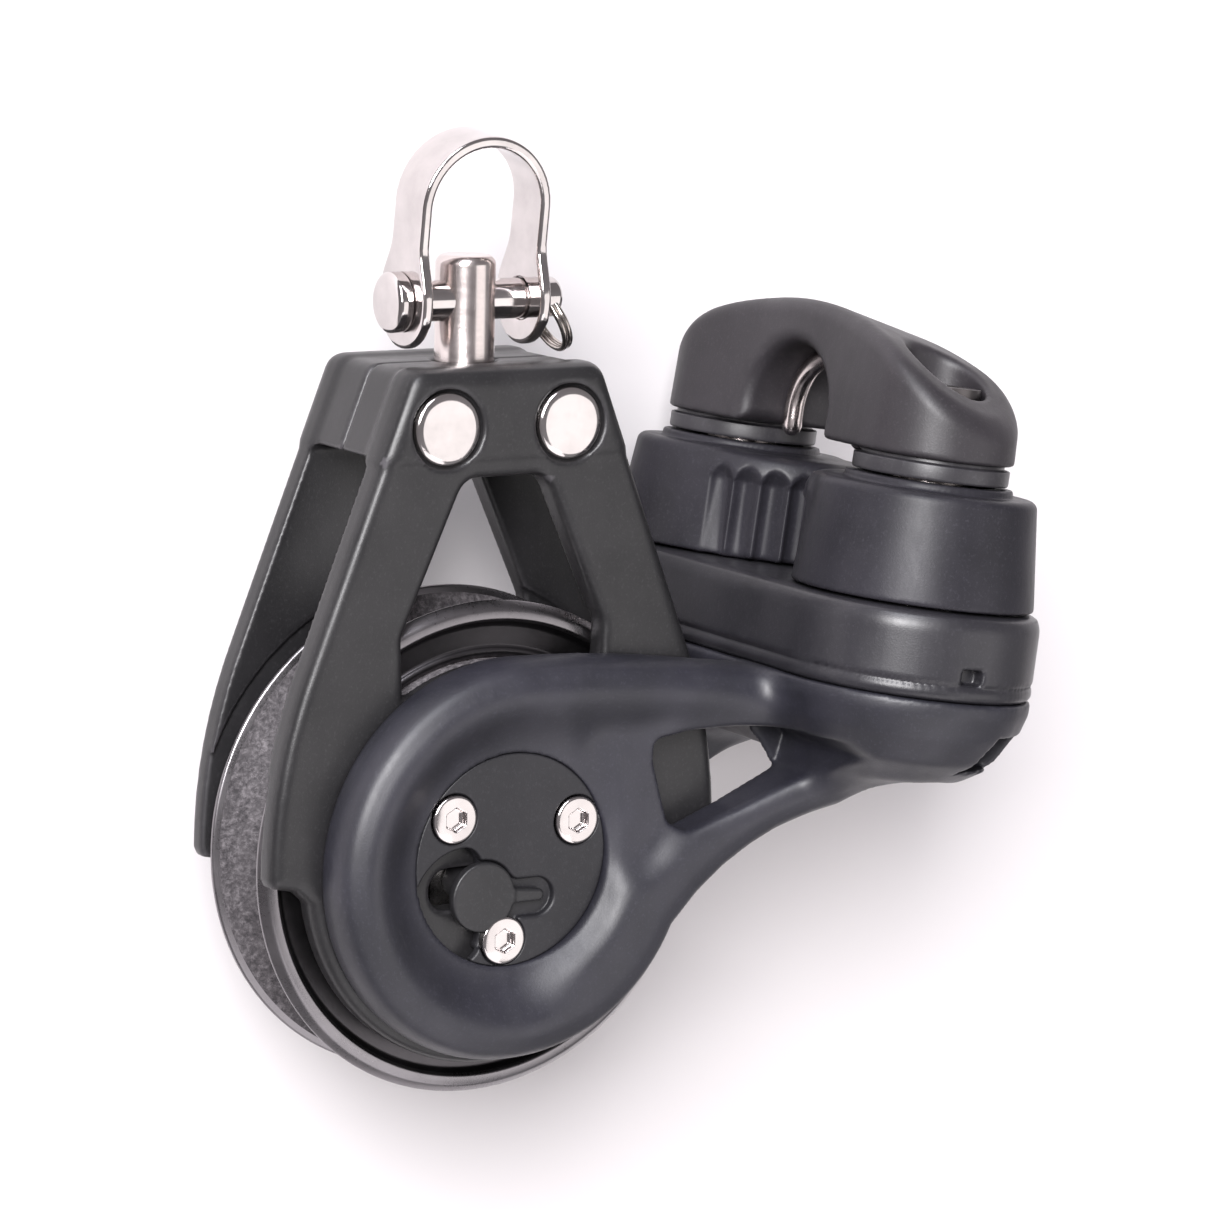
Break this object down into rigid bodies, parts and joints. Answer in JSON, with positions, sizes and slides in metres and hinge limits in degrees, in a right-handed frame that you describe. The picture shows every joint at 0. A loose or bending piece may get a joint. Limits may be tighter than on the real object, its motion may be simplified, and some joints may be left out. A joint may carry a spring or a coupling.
{
  "type": "swivel ratchet block with cam cleat",
  "caption": "Swivel-shackle rope block with a ratchet sheave and a forked arm that carries a sprung cam cleat under a wire-lined fairlead arch.",
  "frame": {"origin": "centre of the sheave, on its axis, midway between the cheeks", "axes": "+Z from the sheave to the head and shackle; +X from the sheave to the cleat; +Y along the sheave's axis, away from the side with the ratchet switch"},
  "size_m": [0.093, 0.0694, 0.1096],
  "materials": {
    "cheek_plastic": "satin moulded",
    "arm_plastic": "satin moulded",
    "cleat_plastic": "satin moulded",
    "cam_plastic": "satin moulded",
    "hub_plastic": "matte moulded",
    "switch_plastic": "matte moulded",
    "ball_plastic": "polished",
    "washer_plastic": "smooth",
    "stainless": "polished",
    "spring_steel": "drawn",
    "pawl_steel": "hardened",
    "sheave_alloy": "rough, speckled grip coat",
    "flange_alloy": "turned and anodised"
  },
  "bodies": {
    "shackle": {"shackle_bow": "stainless", "clevis_pin": "stainless"},
    "ring": {"split_ring": "spring_steel"},
    "post": {"swivel_post": "stainless"},
    "block": {"post_washer": "washer_plastic", "near_cheek": "cheek_plastic", "far_cheek": "cheek_plastic", "head_rivets": "stainless", "hub_core": "hub_plastic", "near_hub_plate": "hub_plastic", "far_hub_plate": "hub_plastic", "near_hub_screws": "stainless", "far_hub_screws": "stainless", "pawl_pins": "pawl_steel", "cam_arm": "arm_plastic", "cam_base": "arm_plastic", "near_cam_spring": "spring_steel", "far_cam_spring": "spring_steel", "near_cam_post": "stainless", "far_cam_post": "stainless", "near_cam_cap": "cleat_plastic", "far_cam_cap": "cleat_plastic", "fairlead_arch": "cleat_plastic", "fairlead_wire": "stainless", "cleat_screws": "stainless", "cleat_nuts": "stainless"},
    "sheave": {"sheave_drum": "sheave_alloy", "near_flange": "flange_alloy", "far_flange": "flange_alloy", "ratchet_ring": "pawl_steel"},
    "sheave_balls": {"near_ball_row": "ball_plastic", "far_ball_row": "ball_plastic"},
    "switch": {"ratchet_switch": "switch_plastic", "shift_plate": "pawl_steel"},
    "upper_pawl": {"upper_pawl": "pawl_steel"},
    "lower_pawl": {"lower_pawl": "pawl_steel"},
    "near_cam": {"near_cam": "cam_plastic"},
    "far_cam": {"far_cam": "cam_plastic"},
    "near_balls": {"near_cam_balls": "ball_plastic"},
    "far_balls": {"far_cam_balls": "ball_plastic"}
  },
  "joints": [
    {"name": "ring_swing", "type": "hinge", "parent": "shackle", "child": "ring", "pos_m": [0.0098, 0, 0.0617], "axis": [0, 0.9903, 0.1392], "range_deg": [-60, 0]},
    {"name": "shackle_tilt", "type": "hinge", "parent": "shackle", "child": "post", "pos_m": [0, 0, 0.0617], "axis": [1, 0, 0], "range_deg": [-80, 80]},
    {"name": "head_swivel", "type": "hinge", "parent": "post", "child": "block", "pos_m": [0, 0, 0.05], "axis": [0, 0, 1], "continuous": true},
    {"name": "sheave_spin", "type": "hinge", "parent": "block", "child": "sheave", "pos_m": [0, 0, 0], "axis": [0, 1, 0], "continuous": true},
    {"name": "ball_orbit", "type": "hinge", "parent": "block", "child": "sheave_balls", "pos_m": [0, 0, 0], "axis": [0, 1, 0], "continuous": true},
    {"name": "ratchet_slide", "type": "slide", "parent": "block", "child": "switch", "axis": [1, 0, 0], "range_m": [-0.0035, 0]},
    {"name": "upper_pawl_swing", "type": "hinge", "parent": "block", "child": "upper_pawl", "pos_m": [0.00109, 0, 0.01034], "axis": [0, 1, 0], "range_deg": [0, 40]},
    {"name": "lower_pawl_swing", "type": "hinge", "parent": "block", "child": "lower_pawl", "pos_m": [-0.0095, 0, -0.00423], "axis": [0, 1, 0], "range_deg": [0, 40]},
    {"name": "near_cam_turn", "type": "hinge", "parent": "block", "child": "near_cam", "pos_m": [0.049, -0.0195, 0.0274], "axis": [0.1392, 0, 0.9903], "range_deg": [-60, 0], "stiffness_Nm_per_rad": 0.05, "springref_deg": 20.05},
    {"name": "far_cam_turn", "type": "hinge", "parent": "block", "child": "far_cam", "pos_m": [0.049, 0.0195, 0.0274], "axis": [0.1392, 0, 0.9903], "range_deg": [0, 60], "stiffness_Nm_per_rad": 0.05, "springref_deg": -20.05},
    {"name": "near_ball_orbit", "type": "hinge", "parent": "block", "child": "near_balls", "pos_m": [0.049, -0.0195, 0.0274], "axis": [0.1392, 0, 0.9903], "range_deg": [-38, 0]},
    {"name": "far_ball_orbit", "type": "hinge", "parent": "block", "child": "far_balls", "pos_m": [0.049, 0.0195, 0.0274], "axis": [0.1392, 0, 0.9903], "range_deg": [0, 38]}
  ],
  "couplings": [
    {"joint": "ball_orbit", "follows": "sheave_spin", "ratio": 0.5548},
    {"joint": "upper_pawl_swing", "follows": "ratchet_slide", "rad_per_m": -198.97},
    {"joint": "lower_pawl_swing", "follows": "ratchet_slide", "rad_per_m": -198.97},
    {"joint": "near_ball_orbit", "follows": "near_cam_turn", "ratio": 0.6281},
    {"joint": "far_ball_orbit", "follows": "far_cam_turn", "ratio": 0.6281}
  ]
}
